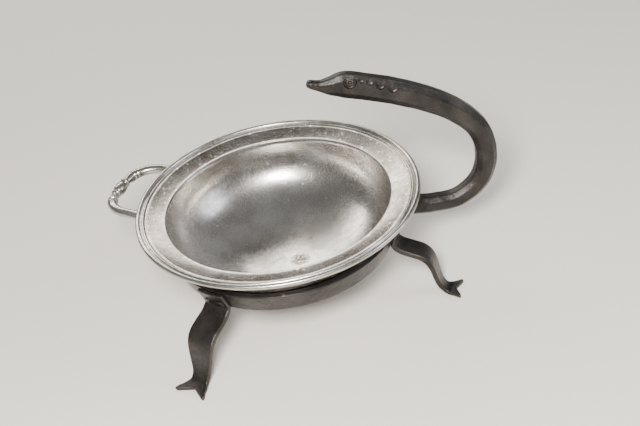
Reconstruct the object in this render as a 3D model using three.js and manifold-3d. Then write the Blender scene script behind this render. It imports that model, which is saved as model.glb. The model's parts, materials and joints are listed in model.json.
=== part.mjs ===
// A wide-rimmed pewter bowl resting in a forged iron table stand: a flared strap hoop, three S-shaped
// legs with split feet, and a thick handle that ends in a bird's head. Millimetres, +Z up.
// The handle leaves the hoop along +X. The bowl is loose: it lifts out of the hoop.

import * as THREE from 'three';
import * as BufferGeometryUtils from 'three/addons/utils/BufferGeometryUtils.js';
import Module from 'manifold-3d';

const wasm = await Module();
wasm.setup();

// ---- Driving dimensions -------------------------------------------------------------------------

const GAP = 0.3; // between pieces that touch on the real object
const RING_STEPS = 64; // facets round the bowl and the hoop

// Bowl
const RIM_RADIUS = 120;
const RIM_HEIGHT = 99.5; // top of the rim above the table
const WELL_RADIUS = 95;
const FLANGE_DISH = 6.2; // how far the well's lip lies below the top of the rim
const WELL_DEPTH = 60; // from the lip down to the inside of the bottom
const BOWL_WALL = 2.2;
const WELL_FULLNESS = 2.4; // 2 is an ellipse; more gives a flatter bottom and steeper sides
const BEAD_RADIUS = 2.2; // the rounded bead that edges the rim
const BEAD_WRAP = 230; // degrees that the bead turns through, from its underside over the top
const REED_WIDTH = 3.2; // the second, flatter reed inside the bead
const REED_OFFSET = 0.4; // from the bead's inner side to the groove beside the reed
const REED_HEIGHT = 0.9;
const REED_GROOVE = 0.7;

// Loop handle
const LOOP_AZIMUTH = 151; // degrees from +X, counterclockwise from above
const LOOP_REACH = 31; // from the rim's edge to the middle of the rod
const LOOP_HALF_SPAN = 35;
const LOOP_ROOT_INSET = 9; // how far the ends reach in under the flange
const LOOP_DROP = 6.6; // from the top of the rim down to the middle of the rod
const ROD_RADIUS = 3.5;
const PALM_HALF_WIDTH = 6;
const PALM_HALF_THICKNESS = 2;
const LOOP_SQUARENESS = 2.6; // 2 is a half ellipse; more squares its shoulders

// Hoop
const HOOP_HEIGHT = 18.2;
const HOOP_THICKNESS = 4.8;
const HOOP_FLARE = 19.3; // degrees from upright, wider at the top
const HOOP_TOP = 70.6; // above the table
const SEAT_GAP = 0.3; // between the bowl's wall and the hoop's inner top edge
const PLATE_INSET = 0.5; // between the hoop's edges and those of a plate riveted to it

// Legs
const LEGS = { // forged by hand, so no two are equally broad; azimuth in degrees from +X
  leg_front: { azimuth: -134, breadth: 1 },
  leg_right: { azimuth: -21.5, breadth: 0.76 },
  leg_back: { azimuth: 102, breadth: 0.93 },
};
const TAB_WIDTH = 25;
const TAB_THICKNESS = 3; // scarfed thinner than the leg, so that it hardly stands out from the hoop
const LEG_THICKNESS = 4.8;
const LEG_CHAMFER = 0.7; // along the strap's four long edges
const SHOULDER_REACH = 33; // from the hoop's lower outer edge out to the shin
const SHOULDER_DROP = 8.2; // from the hoop's lower edge down to the middle of the shoulder
const SHOULDER_WIDTH = 26;
const ANKLE_WIDTH = 16.5;
const TOE_REACH = 56.4; // from the hoop's lower outer edge out to the toe tips
const TOE_SPREAD = 29;
const FOOT_THICKNESS = 3.6;
const NOTCH_DEPTH = 6.5;

// Bird-neck handle
const NECK_PALM_WIDTH = 36;
const NECK_PALM_THICKNESS = 5;
const NECK_ROOT_DEPTH = 16.5; // in the plane of the curve
const NECK_ROOT_BREADTH = 15;
const NECK_REACH = 84; // from the hoop's top outer edge out to the middle of the bend
const NECK_RISE = 139; // from the root's middle up to the beak's tip

// Rivets
const RIVET_RADIUS = 2.5;
const RIVET_HEAD_RADIUS = 3.6; // hammered nearly flush
const RIVET_HEAD_HEIGHT = 0.4;
const RIVET_CLEARANCE = 0.3;
const LEG_RIVET_SPACING = 13;
const NECK_RIVET_SPACING = 24;
const RIVET_SIDES = 12;

// ---- Values worked out from them ----------------------------------------------------------------

const flareSlope = Math.tan(THREE.MathUtils.degToRad(HOOP_FLARE));
const flareCos = Math.cos(THREE.MathUtils.degToRad(HOOP_FLARE));
const lipHeight = RIM_HEIGHT - FLANGE_DISH;
const wellOuterRadius = WELL_RADIUS + BOWL_WALL;
const wellOuterDepth = WELL_DEPTH + BOWL_WALL;
const hoopBottom = HOOP_TOP - HOOP_HEIGHT;
const hoopMiddle = HOOP_TOP - HOOP_HEIGHT / 2;

// ---- Mesh helpers -------------------------------------------------------------------------------

/** A closed BufferGeometry from rings of equal length, capped at both ends. */
function loft(rings) {
  const sides = rings[0].length;
  const positions = rings.flat().flatMap((p) => [p.x, p.y, p.z]);
  const index = [];
  for (let i = 0; i < rings.length - 1; i++) {
    for (let k = 0; k < sides; k++) {
      const a = i * sides + k;
      const b = i * sides + ((k + 1) % sides);
      index.push(a, b, b + sides, a, b + sides, a + sides);
    }
  }
  const last = (rings.length - 1) * sides;
  for (let k = 1; k < sides - 1; k++) {
    index.push(0, k + 1, k);
    index.push(last, last + k, last + k + 1);
  }
  const geometry = new THREE.BufferGeometry();
  geometry.setAttribute('position', new THREE.Float32BufferAttribute(positions, 3));
  geometry.setIndex(index);
  return geometry;
}

/** A full turn of an outline of [radius, height] points about Z. */
function turned(outline) {
  const points = outline.map(([radius, height]) => new THREE.Vector2(radius, height));
  return new THREE.LatheGeometry(points, RING_STEPS).rotateX(Math.PI / 2);
}

/** Part of a turn of a closed [radius, height] outline, from -halfAngle to +halfAngle about +X. */
function turnedPart(outline, halfAngle, steps) {
  const rings = [];
  for (let i = 0; i <= steps; i++) {
    const angle = halfAngle * ((2 * i) / steps - 1);
    rings.push(outline.map(([radius, height]) => (
      new THREE.Vector3(radius * Math.cos(angle), radius * Math.sin(angle), height))));
  }
  return loft(rings);
}

/** A manifold solid from a closed geometry, turned right side out if it needs it. */
function solid(geometry) {
  const bare = geometry.clone();
  bare.deleteAttribute('normal');
  bare.deleteAttribute('uv');
  const merged = BufferGeometryUtils.mergeVertices(bare, 1e-4);
  const vertProperties = merged.attributes.position.array;
  const corner = (i) => new THREE.Vector3().fromArray(vertProperties, 3 * i);
  const triangles = [];
  let volume = 0;
  for (let i = 0; i < merged.index.count; i += 3) {
    const [a, b, c] = [0, 1, 2].map((k) => merged.index.getX(i + k));
    if (a !== b && b !== c && a !== c) {
      triangles.push(a, b, c);
      volume += corner(a).dot(corner(b).cross(corner(c)));
    }
  }
  if (volume < 0) {
    triangles.reverse();
  }
  const triVerts = Uint32Array.from(triangles);
  return new wasm.Manifold(new wasm.Mesh({ numProp: 3, vertProperties, triVerts }));
}

/** The geometry of a manifold solid. */
function geometryOf(body) {
  const mesh = body.getMesh();
  const geometry = new THREE.BufferGeometry();
  geometry.setAttribute('position', new THREE.BufferAttribute(mesh.vertProperties, 3));
  geometry.setIndex(new THREE.BufferAttribute(mesh.triVerts, 1));
  return geometry;
}

/** Smooth values between control rows: row k is reached at k, and t runs from 0 to rows - 1. */
function smoothRows(rows, steps) {
  const result = [];
  for (let i = 0; i <= steps; i++) {
    const t = (i / steps) * (rows.length - 1);
    const k = Math.min(Math.floor(t), rows.length - 2);
    const before = rows[Math.max(k - 1, 0)];
    const after = rows[Math.min(k + 2, rows.length - 1)];
    result.push(rows[k].map((value, column) => (
      catmullRom(t - k, before[column], value, rows[k + 1][column], after[column]))));
  }
  return result;
}

/** The cubic between two values that passes smoothly on to the values on either side of them. */
function catmullRom(t, before, from, to, after) {
  const startSlope = (to - before) / 2;
  const endSlope = (after - from) / 2;
  const cubic = 2 * from - 2 * to + startSlope + endSlope;
  const square = -3 * from + 3 * to - 2 * startSlope - endSlope;
  return ((cubic * t + square) * t + startSlope) * t + from;
}

/** Unit normals of a polyline of [x, z] points, turned left of its direction. */
function normalsOf(path) {
  return path.map((_, i) => {
    const before = path[Math.max(i - 1, 0)];
    const after = path[Math.min(i + 1, path.length - 1)];
    const length = Math.hypot(after[0] - before[0], after[1] - before[1]);
    return [-(after[1] - before[1]) / length, (after[0] - before[0]) / length];
  });
}

function ironMaterial() {
  return new THREE.MeshStandardMaterial({ color: 0x3c322d, roughness: 0.55, metalness: 0.8 });
}

function pewterMaterial() {
  return new THREE.MeshStandardMaterial({ color: 0xa9a196, roughness: 0.35, metalness: 0.95 });
}

function named(name, geometry, material) {
  const mesh = new THREE.Mesh(geometry, material);
  mesh.name = name;
  return mesh;
}

// ---- Bowl ---------------------------------------------------------------------------------------

/** Radius of a well of the given size at a depth below its lip. */
function wellRadiusAt(depth, radius, fullDepth) {
  const share = Math.min(depth / fullDepth, 1);
  return radius * (1 - share ** WELL_FULLNESS) ** (1 / WELL_FULLNESS);
}

/** Half outline of a well from the axis up to its lip, as [radius, height] points. */
function wellOutline(radius, fullDepth, steps) {
  const points = [];
  for (let i = 0; i <= steps; i++) {
    const angle = (Math.PI / 2) * (i / steps);
    const across = Math.sin(angle) ** (2 / WELL_FULLNESS);
    const down = Math.cos(angle) ** (2 / WELL_FULLNESS);
    points.push([i === 0 ? 0 : radius * across, lipHeight - (i === steps ? 0 : fullDepth * down)]);
  }
  return points;
}

/** The underside of the flange, from the well's wall out to the rim, kept `away` from the metal. */
function undersideOutline(away) {
  const beadBottom = RIM_HEIGHT - 2 * BEAD_RADIUS;
  return [
    [wellOuterRadius + away, lipHeight - BOWL_WALL - away],
    [RIM_RADIUS - 2 * BEAD_RADIUS, beadBottom - away],
    [RIM_RADIUS - BEAD_RADIUS, beadBottom - away],
  ];
}

/** The bowl: one turned body with a deep well, a dished flange and a beaded, reeded rim. */
function bowl() {
  const wellSteps = 11;
  const outside = wellOutline(wellOuterRadius, wellOuterDepth, wellSteps).slice(0, -1);
  const beadCentre = [RIM_RADIUS - BEAD_RADIUS, RIM_HEIGHT - BEAD_RADIUS];
  const bead = [];
  const beadSteps = 6;
  for (let i = 1; i <= beadSteps; i++) {
    const angle = THREE.MathUtils.degToRad((BEAD_WRAP * i) / beadSteps - 90);
    bead.push([
      beadCentre[0] + BEAD_RADIUS * Math.cos(angle),
      beadCentre[1] + BEAD_RADIUS * Math.sin(angle),
    ]);
  }
  const grooveRadius = RIM_RADIUS - 2 * BEAD_RADIUS - REED_OFFSET;
  const reedInner = grooveRadius - REED_WIDTH;
  const flangeTop = RIM_HEIGHT - REED_HEIGHT - REED_GROOVE;
  const reeds = [
    [grooveRadius, RIM_HEIGHT - BEAD_RADIUS * 0.6 - REED_GROOVE],
    [grooveRadius - REED_WIDTH * 0.3, flangeTop + REED_HEIGHT * 0.8],
    [reedInner + REED_WIDTH * 0.3, flangeTop + REED_HEIGHT * 0.7],
    [reedInner, flangeTop - REED_HEIGHT / 3],
  ];
  const inside = wellOutline(WELL_RADIUS, WELL_DEPTH, wellSteps).reverse();
  return turned([...outside, ...undersideOutline(0), ...bead, ...reeds, ...inside]);
}

/** Everything above the bowl's outer skin, grown by the gap: it trims what is fixed underneath. */
function bowlTrim() {
  const skin = wellOutline(wellOuterRadius + GAP, wellOuterDepth + GAP, 12).slice(0, -1);
  const under = undersideOutline(GAP);
  const beyond = RIM_RADIUS + 2 * LOOP_REACH;
  const rimUnderside = under.at(-1)[1];
  const above = [[beyond, rimUnderside], [beyond, 2 * RIM_HEIGHT], [0, 2 * RIM_HEIGHT]];
  return solid(turned([...skin, ...under, ...above]));
}

/** The loop: a rod with turned mouldings, bent to an arch whose flattened ends lie under the rim. */
function loopHandle() {
  const stations = 44;
  const sides = 10;
  const rings = [];
  const rootRadius = RIM_RADIUS - LOOP_ROOT_INSET;
  const archLength = LOOP_REACH + LOOP_ROOT_INSET;
  const power = 2 / LOOP_SQUARENESS;
  const path = [];
  for (let i = 0; i <= stations; i++) {
    const angle = Math.PI * (i / stations);
    const out = i % stations === 0 ? 0 : Math.sin(angle) ** power;
    const side = Math.sign(Math.cos(angle)) * Math.abs(Math.cos(angle)) ** power;
    path.push([rootRadius + archLength * out, -LOOP_HALF_SPAN * side]);
  }
  const normals = normalsOf(path);
  path.forEach(([out, side], i) => {
    const share = Math.abs((2 * i) / stations - 1); // 0 in the middle of the loop, 1 at its ends
    const [halfWidth, halfThickness] = loopSection(share, side);
    const [normalOut, normalSide] = normals[i];
    const height = RIM_HEIGHT - LOOP_DROP;
    rings.push(Array.from({ length: sides }, (_, k) => {
      const turn = (2 * Math.PI * k) / sides;
      const across = halfWidth * Math.cos(turn);
      const up = halfThickness * Math.sin(turn);
      return new THREE.Vector3(out + normalOut * across, side + normalSide * across, height + up);
    }));
  });
  const rod = solid(loft(rings).rotateZ(THREE.MathUtils.degToRad(LOOP_AZIMUTH)));
  return geometryOf(rod.subtract(bowlTrim()));
}

/** Half width and half thickness of the loop's rod: palms at the ends, mouldings in the middle. */
function loopSection(share, side) {
  const palm = THREE.MathUtils.smoothstep(share, 0.86, 0.97);
  const bump = (centre, width, height) => {
    const offset = (Math.abs(side) - centre) / width;
    return height * Math.exp(-(offset ** 2));
  };
  const barrel = bump(0, 5, 1.7);
  const collars = bump(11, 1.6, 1.1) + bump(22, 2, 1.3);
  const radius = ROD_RADIUS + barrel + collars;
  return [
    THREE.MathUtils.lerp(radius, PALM_HALF_WIDTH, palm),
    THREE.MathUtils.lerp(radius, PALM_HALF_THICKNESS, palm),
  ];
}

// ---- Hoop and what is riveted to it ---------------------------------------------------------------

/** Inner radius of the hoop at a height: its top edge clears the bowl's wall by SEAT_GAP. */
function hoopInner(height) {
  const seat = wellRadiusAt(lipHeight - HOOP_TOP, wellOuterRadius, wellOuterDepth) + SEAT_GAP;
  return seat - (HOOP_TOP - height) * flareSlope;
}

function hoopOuter(height) {
  return hoopInner(height) + HOOP_THICKNESS / flareCos;
}

/** A cylinder or rivet along the hoop's outward normal, its foot on the hoop's inner face. */
function alongHoopNormal(geometry, azimuth, sideways) {
  geometry.rotateZ(-Math.PI / 2);
  geometry.rotateY(THREE.MathUtils.degToRad(HOOP_FLARE));
  geometry.translate(hoopInner(hoopMiddle), 0, hoopMiddle);
  const turn = Math.asin(sideways / hoopOuter(hoopMiddle));
  return geometry.rotateZ(THREE.MathUtils.degToRad(azimuth) + turn);
}

/** One rivet: a plain shank flush with the hoop's inner face and a low round head outside. */
function rivet(azimuth, sideways, plateThickness) {
  const seat = HOOP_THICKNESS + GAP + plateThickness + GAP;
  const profile = [
    [0, GAP],
    [RIVET_RADIUS, GAP],
    [RIVET_RADIUS, seat],
    [RIVET_HEAD_RADIUS, seat],
    [RIVET_HEAD_RADIUS * 0.8, seat + RIVET_HEAD_HEIGHT * 0.7],
    [RIVET_HEAD_RADIUS * 0.4, seat + RIVET_HEAD_HEIGHT],
    [0, seat + RIVET_HEAD_HEIGHT],
  ].map(([radius, height]) => new THREE.Vector2(radius, height));
  return alongHoopNormal(new THREE.LatheGeometry(profile, RIVET_SIDES), azimuth, sideways);
}

/** A cylinder long enough to drill the hoop and whatever is riveted to it. */
function rivetHole(azimuth, sideways) {
  const radius = RIVET_RADIUS + RIVET_CLEARANCE;
  const length = 4 * (HOOP_THICKNESS + NECK_REACH / 8);
  const hole = new THREE.CylinderGeometry(radius, radius, length, RIVET_SIDES);
  return solid(alongHoopNormal(hole, azimuth, sideways));
}

/** Every riveted joint: where it is on the hoop, and the plate that it holds. */
function rivetPlaces() {
  const places = [];
  for (const [leg, { azimuth, breadth }] of Object.entries(LEGS)) {
    for (const side of [-1, 1]) {
      places.push({ holds: leg, azimuth, sideways: (side * breadth * LEG_RIVET_SPACING) / 2,
        plate: TAB_THICKNESS });
    }
  }
  for (const side of [-1, 1]) {
    places.push({ holds: 'neck_handle', azimuth: 0, sideways: (side * NECK_RIVET_SPACING) / 2,
      plate: NECK_PALM_THICKNESS });
  }
  return places;
}

/** The body with the holes of these rivets drilled through it. */
function drilled(body, places) {
  return places.reduce(
    (left, place) => left.subtract(rivetHole(place.azimuth, place.sideways)), body);
}

function rivetsOf(piece) {
  return rivetPlaces().filter((place) => place.holds === piece);
}

/** The hoop: a flared strap ring, drilled for every rivet. */
function hoop() {
  const outline = [
    [hoopInner(hoopBottom), hoopBottom],
    [hoopOuter(hoopBottom), hoopBottom],
    [hoopOuter(HOOP_TOP), HOOP_TOP],
    [hoopInner(HOOP_TOP), HOOP_TOP],
    [hoopInner(hoopBottom), hoopBottom],
  ];
  return geometryOf(drilled(solid(turned(outline)), rivetPlaces()));
}

/** A plate that lies on the hoop's outer face, centred on +X, a little less high than the hoop. */
function hoopPlate(width, thickness) {
  const top = HOOP_TOP - PLATE_INSET;
  const bottom = hoopBottom + PLATE_INSET;
  const inner = (height) => hoopOuter(height) + GAP / flareCos;
  const outer = (height) => inner(height) + thickness / flareCos;
  const outline = [
    [inner(bottom), bottom],
    [outer(bottom), bottom],
    [outer(top), top],
    [inner(top), top],
  ];
  return solid(turnedPart(outline, Math.asin(width / 2 / hoopOuter(hoopMiddle)), 6));
}

// ---- Legs ---------------------------------------------------------------------------------------

/** Control rows of a leg of breadth 1 in its own radial plane: [radius, height, width, thickness]. */
function legRows() {
  const edge = hoopOuter(hoopBottom);
  const shin = edge + SHOULDER_REACH;
  const toe = edge + TOE_REACH;
  const tabMiddle = (height) => hoopOuter(height) + (GAP + TAB_THICKNESS / 2) / flareCos;
  const footMiddle = FOOT_THICKNESS / 2;
  return [
    [tabMiddle(hoopBottom + 4.5), hoopBottom + 4.5, TAB_WIDTH, TAB_THICKNESS * 0.9],
    [tabMiddle(hoopBottom + 1), hoopBottom + 1, TAB_WIDTH, TAB_THICKNESS * 0.95],
    [edge + 8, hoopBottom - SHOULDER_DROP * 0.55, SHOULDER_WIDTH * 0.97, LEG_THICKNESS],
    [edge + 16.5, hoopBottom - SHOULDER_DROP, SHOULDER_WIDTH, LEG_THICKNESS],
    [shin - 8.5, hoopBottom - SHOULDER_DROP * 1.4, SHOULDER_WIDTH, LEG_THICKNESS],
    [shin - 3, hoopBottom - SHOULDER_DROP * 2.05, SHOULDER_WIDTH * 0.97, LEG_THICKNESS],
    [shin, hoopBottom * 0.53, SHOULDER_WIDTH * 0.88, LEG_THICKNESS * 0.95],
    [shin + 1.8, hoopBottom * 0.36, ANKLE_WIDTH * 1.22, LEG_THICKNESS * 0.9],
    [shin + 4, footMiddle + 8.5, ANKLE_WIDTH * 1.03, LEG_THICKNESS * 0.88],
    [shin + 8, footMiddle + 2.4, ANKLE_WIDTH, FOOT_THICKNESS],
    [shin + 16, footMiddle - 0.2, TOE_SPREAD * 0.76, FOOT_THICKNESS],
    [toe, footMiddle - 0.2, TOE_SPREAD, FOOT_THICKNESS],
  ];
}

/** One leg: a lofted strap with a split foot, joined to the tab that lies on the hoop. */
function leg(name) {
  const { azimuth, breadth } = LEGS[name];
  const rows = smoothRows(legRows(), 33);
  const normals = normalsOf(rows);
  const rings = rows.map(([radius, height, width, thickness], i) => {
    const [normalOut, normalUp] = normals[i];
    const halfWidth = (breadth * width) / 2;
    const halfThickness = thickness / 2;
    const corners = [
      [-halfWidth + LEG_CHAMFER, -halfThickness],
      [halfWidth - LEG_CHAMFER, -halfThickness],
      [halfWidth, -halfThickness + LEG_CHAMFER],
      [halfWidth, halfThickness - LEG_CHAMFER],
      [halfWidth - LEG_CHAMFER, halfThickness],
      [-halfWidth + LEG_CHAMFER, halfThickness],
      [-halfWidth, halfThickness - LEG_CHAMFER],
      [-halfWidth, -halfThickness + LEG_CHAMFER],
    ];
    return corners.map(([across, off]) => (
      new THREE.Vector3(radius + normalOut * off, across, height + normalUp * off)));
  });
  const strap = solid(loft(rings))
    .subtract(toeNotch(breadth))
    .subtract(belowTable())
    .subtract(hoopClearance());
  const tab = hoopPlate(breadth * TAB_WIDTH, TAB_THICKNESS);
  const turn = THREE.MathUtils.degToRad(azimuth);
  const turnedLeg = solid(geometryOf(strap.add(tab)).rotateZ(turn));
  return geometryOf(drilled(turnedLeg, rivetsOf(name)));
}

/** The V cut that splits the foot into two toes. */
function toeNotch(breadth) {
  const toe = hoopOuter(hoopBottom) + TOE_REACH;
  const shape = new THREE.Shape();
  const beyond = 5;
  const spread = ((breadth * TOE_SPREAD) / 2) * (1 + beyond / NOTCH_DEPTH);
  shape.moveTo(toe - NOTCH_DEPTH, 0);
  shape.lineTo(toe + beyond, -spread);
  shape.lineTo(toe + beyond, spread);
  shape.closePath();
  const height = 4 * FOOT_THICKNESS;
  return solid(new THREE.ExtrudeGeometry(shape, { depth: height, bevelEnabled: false })
    .translate(0, 0, -height / 2));
}

/** What lies below the table, so that the soles are flat. */
function belowTable() {
  const width = 4 * (hoopOuter(hoopBottom) + TOE_REACH);
  const depth = 10 * FOOT_THICKNESS;
  return solid(new THREE.BoxGeometry(width, width, depth).translate(0, 0, -depth / 2));
}

/** The hoop grown by the gap on its outer face, so that nothing reaches into it. */
function hoopClearance() {
  const away = GAP / flareCos;
  const low = hoopBottom - GAP;
  const high = HOOP_TOP + GAP;
  return solid(turned([
    [0, low],
    [hoopOuter(low) + away, low],
    [hoopOuter(high) + away, high],
    [0, high],
  ]));
}

// ---- Bird-neck handle -----------------------------------------------------------------------------

/** Control rows of the handle: [reach share, rise share, depth, breadth], from root to beak. */
function neckRows() {
  const depth = NECK_ROOT_DEPTH;
  const breadth = NECK_ROOT_BREADTH;
  return [
    [0.01, 0.0, depth, breadth * 1.1],
    [0.2, -0.01, depth, breadth],
    [0.42, -0.03, depth, breadth],
    [0.67, -0.025, depth, breadth],
    [0.88, 0.055, depth * 1.06, breadth],
    [0.985, 0.18, depth * 1.1, breadth],
    [0.99, 0.33, depth * 1.12, breadth],
    [0.91, 0.465, depth * 1.16, breadth],
    [0.72, 0.595, depth * 1.2, breadth],
    [0.45, 0.71, depth * 1.28, breadth * 0.97],
    [0.14, 0.808, depth * 1.33, breadth * 0.93],
    [-0.12, 0.873, depth * 1.35, breadth * 0.88],
    [-0.31, 0.915, depth * 1.34, breadth * 0.84],
    [-0.44, 0.925, depth * 0.96, breadth * 0.76],
    [-0.55, 0.94, depth * 0.56, breadth * 0.62],
    [-0.66, 0.97, depth * 0.42, breadth * 0.6],
  ];
}

/** The handle: a lofted bar with a bird's head, joined to the palm that lies on the hoop. */
function neckHandle() {
  const start = hoopOuter(hoopMiddle) + GAP;
  const rows = smoothRows(neckRows(), 45);
  const path = rows.map(([reach, rise]) => [start + reach * NECK_REACH, hoopMiddle + rise * NECK_RISE]);
  const normals = normalsOf(path);
  const sides = 12;
  const rings = path.map(([x, z], i) => {
    const [, , depth, breadth] = rows[i];
    return Array.from({ length: sides }, (_, k) => {
      const turn = (2 * Math.PI * (k + 0.5)) / sides;
      const off = (depth / 2) * Math.sin(turn);
      return new THREE.Vector3(x + normals[i][0] * off, (breadth / 2) * Math.cos(turn),
        z + normals[i][1] * off);
    });
  });
  const bar = solid(loft(rings)).subtract(hoopClearance());
  const palm = hoopPlate(NECK_PALM_WIDTH, NECK_PALM_THICKNESS);
  return geometryOf(drilled(bar.add(palm), rivetsOf('neck_handle')));
}

// ---- Assembly -----------------------------------------------------------------------------------

const object = new THREE.Group();

const bowlBody = new THREE.Group();
bowlBody.add(named('bowl', bowl(), pewterMaterial()));
bowlBody.add(named('loop_handle', loopHandle(), pewterMaterial()));
object.add(bowlBody);

const stand = new THREE.Group();
stand.add(named('hoop', hoop(), ironMaterial()));
for (const name of Object.keys(LEGS)) {
  stand.add(named(name, leg(name), ironMaterial()));
}
stand.add(named('neck_handle', neckHandle(), ironMaterial()));
rivetPlaces().forEach((place, i) => {
  const side = i % 2 === 0 ? 'a' : 'b';
  const name = `rivet_${place.holds.replace('_handle', '')}_${side}`;
  stand.add(named(name, rivet(place.azimuth, place.sideways, place.plate), ironMaterial()));
});
object.add(stand);

// The origin is on the table, under the middle of the whole object's box.
const box = new THREE.Box3().setFromObject(object);
const centre = box.getCenter(new THREE.Vector3());
object.position.set(-centre.x, -centre.y, -box.min.z);

export default object;
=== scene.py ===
# %% [markdown]
# # A pewter bowl in a forged iron table stand
# The bowl is loose. It sits in a flared iron hoop that stands on three strap legs, and a thick iron
# handle rises from the hoop and curls back over the bowl to end in a bird's head.
# Every real piece is one mesh here. Each rides on the body that carries it, so that lifting the bowl
# in the physics model also lifts it in the picture.

# %% Load the fixed frame
import json
import math
import bpy
from mathutils import Matrix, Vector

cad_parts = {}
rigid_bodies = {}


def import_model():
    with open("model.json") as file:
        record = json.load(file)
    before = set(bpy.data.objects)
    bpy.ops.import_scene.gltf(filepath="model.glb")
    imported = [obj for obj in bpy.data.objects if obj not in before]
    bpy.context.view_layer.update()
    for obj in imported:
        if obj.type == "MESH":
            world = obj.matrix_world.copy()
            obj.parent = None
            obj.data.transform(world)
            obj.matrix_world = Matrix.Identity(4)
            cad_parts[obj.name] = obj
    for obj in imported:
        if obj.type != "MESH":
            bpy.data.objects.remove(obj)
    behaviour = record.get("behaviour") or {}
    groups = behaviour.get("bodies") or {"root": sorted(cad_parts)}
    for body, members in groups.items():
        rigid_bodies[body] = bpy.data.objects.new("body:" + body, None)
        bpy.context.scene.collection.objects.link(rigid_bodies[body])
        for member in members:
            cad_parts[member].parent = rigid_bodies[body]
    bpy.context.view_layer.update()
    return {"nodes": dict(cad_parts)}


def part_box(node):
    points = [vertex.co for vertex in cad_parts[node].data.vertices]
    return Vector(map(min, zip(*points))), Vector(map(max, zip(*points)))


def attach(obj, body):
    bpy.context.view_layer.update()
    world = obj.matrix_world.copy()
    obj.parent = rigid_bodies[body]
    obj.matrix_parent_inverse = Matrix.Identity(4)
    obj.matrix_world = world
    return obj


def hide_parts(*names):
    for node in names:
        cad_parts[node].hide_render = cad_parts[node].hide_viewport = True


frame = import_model()

# %% [markdown]
# Places come from the frame. The hoop is a full ring, so the middle of its box is the axis that the
# bowl, the hoop and the legs all share. Sizes are written in millimetres, as a smith or a pewterer
# would write them, and `mm` turns them to Blender's metres.

# %% Millimetres and the common axis
MM = 0.001
SAME_PLACE = 0.01 * MM  # points or faces closer than this count as one


def mm(*values):
    """Millimetres from the bowl's axis and the table, as a point in metres."""
    x, y, z = values
    return (AXIS[0] + x * MM, AXIS[1] + y * MM, z * MM)


hoop_low, hoop_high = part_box("hoop")
AXIS = ((hoop_low.x + hoop_high.x) / 2, (hoop_low.y + hoop_high.y) / 2)
HOOP_BOTTOM = hoop_low.z / MM
HOOP_TOP = hoop_high.z / MM
HOOP_RADIUS = (hoop_high.x - hoop_low.x) / 2 / MM
bowl_low, bowl_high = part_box("bowl")
RIM_HEIGHT = bowl_high.z / MM
RIM_RADIUS = (bowl_high.x - bowl_low.x) / 2 / MM
BOWL_BOTTOM = bowl_low.z / MM
print(f"axis at {AXIS[0] / MM:.1f}, {AXIS[1] / MM:.1f} mm; rim radius {RIM_RADIUS:.1f} mm")

# %% [markdown]
# Edit-mode operators act on whatever is selected, and loading the frame leaves its nodes selected.
# So each piece starts with a clean selection. Faces, edges and points are then chosen in code by
# where they are, which is what a click does by hand.

# %% Small helpers for modelling by hand
def nothing_selected():
    """Object mode, with nothing selected and nothing active."""
    if bpy.context.object and bpy.context.object.mode != "OBJECT":
        bpy.ops.object.mode_set(mode="OBJECT")
    bpy.ops.object.select_all(action="DESELECT")
    bpy.context.view_layer.objects.active = None


def just(obj):
    """Object mode, with this object alone selected and active."""
    nothing_selected()
    obj.select_set(True)
    bpy.context.view_layer.objects.active = obj
    return obj


def apply_modifier(obj, kind, **settings):
    """Adds a modifier, sets it and applies it, so that its result is the mesh itself."""
    just(obj)
    modifier = obj.modifiers.new(kind.lower(), kind)
    for name, value in settings.items():
        setattr(modifier, name, value)
    bpy.ops.object.modifier_apply(modifier=modifier.name)
    return obj


def join(first, *others):
    """Joins objects into the first one."""
    just(first)
    for other in others:
        other.select_set(True)
    bpy.ops.object.join()
    return first


def set_place(obj):
    """Puts the object's place into its mesh, so the object itself sits at the origin, unturned."""
    just(obj)
    bpy.ops.object.transform_apply(location=True, rotation=True, scale=True)
    return obj


def tidy_shell(obj):
    """Object mode, with doubles merged and every face of a closed shell turned outwards."""
    just(obj)
    bpy.ops.object.mode_set(mode="EDIT")
    bpy.ops.mesh.select_all(action="SELECT")
    bpy.ops.mesh.remove_doubles(threshold=SAME_PLACE)
    bpy.ops.mesh.normals_make_consistent(inside=False)
    bpy.ops.object.mode_set(mode="OBJECT")
    return obj


def finish_piece(obj, name, body, *nodes, smooth_angle=40):
    """Names a piece, smooths its shading, and tells the frame where it rides and what it replaces."""
    just(obj)
    bpy.ops.object.shade_smooth_by_angle(angle=math.radians(smooth_angle))
    obj.name = name
    obj.data.name = name
    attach(obj, body)
    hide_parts(*nodes)
    print(f"{name}: {len(obj.data.polygons)} faces, rides {body}, replaces {', '.join(nodes)}")
    return obj


# %% [markdown]
# ## The bowl
# A pewter bowl is cast or spun and then turned true on a lathe. The Blender form of a lathe is a
# circle that is extruded and resized ring by ring. A Screw modifier would also work, but rings let
# each part of the profile keep its own spacing: close together on the bead and reed of the rim, wide
# apart on the plain wall. The well's wall is a superellipse: 2 would be a true ellipse, and a higher
# power gives the flatter bottom and fuller sides of a serving bowl.

# %% The bowl's profile
RING_SIDES = 256
WELL_RADIUS = 95.0
BOWL_WALL = 2.2
FLANGE_DISH = 6.2
WELL_FULLNESS = 2.4
BEAD_RADIUS = 2.2
REED_WIDTH = 3.2
LIP_HEIGHT = RIM_HEIGHT - FLANGE_DISH


def well_profile(radius, bottom, steps):
    """From the axis up to the lip of the well, as (radius, height) pairs."""
    points = []
    for i in range(steps + 1):
        angle = math.pi / 2 * i / steps
        across = math.sin(angle) ** (2 / WELL_FULLNESS)
        down = max(math.cos(angle), 0.0) ** (2 / WELL_FULLNESS)
        points.append((radius * across, LIP_HEIGHT - (LIP_HEIGHT - bottom) * down))
    return points


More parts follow.
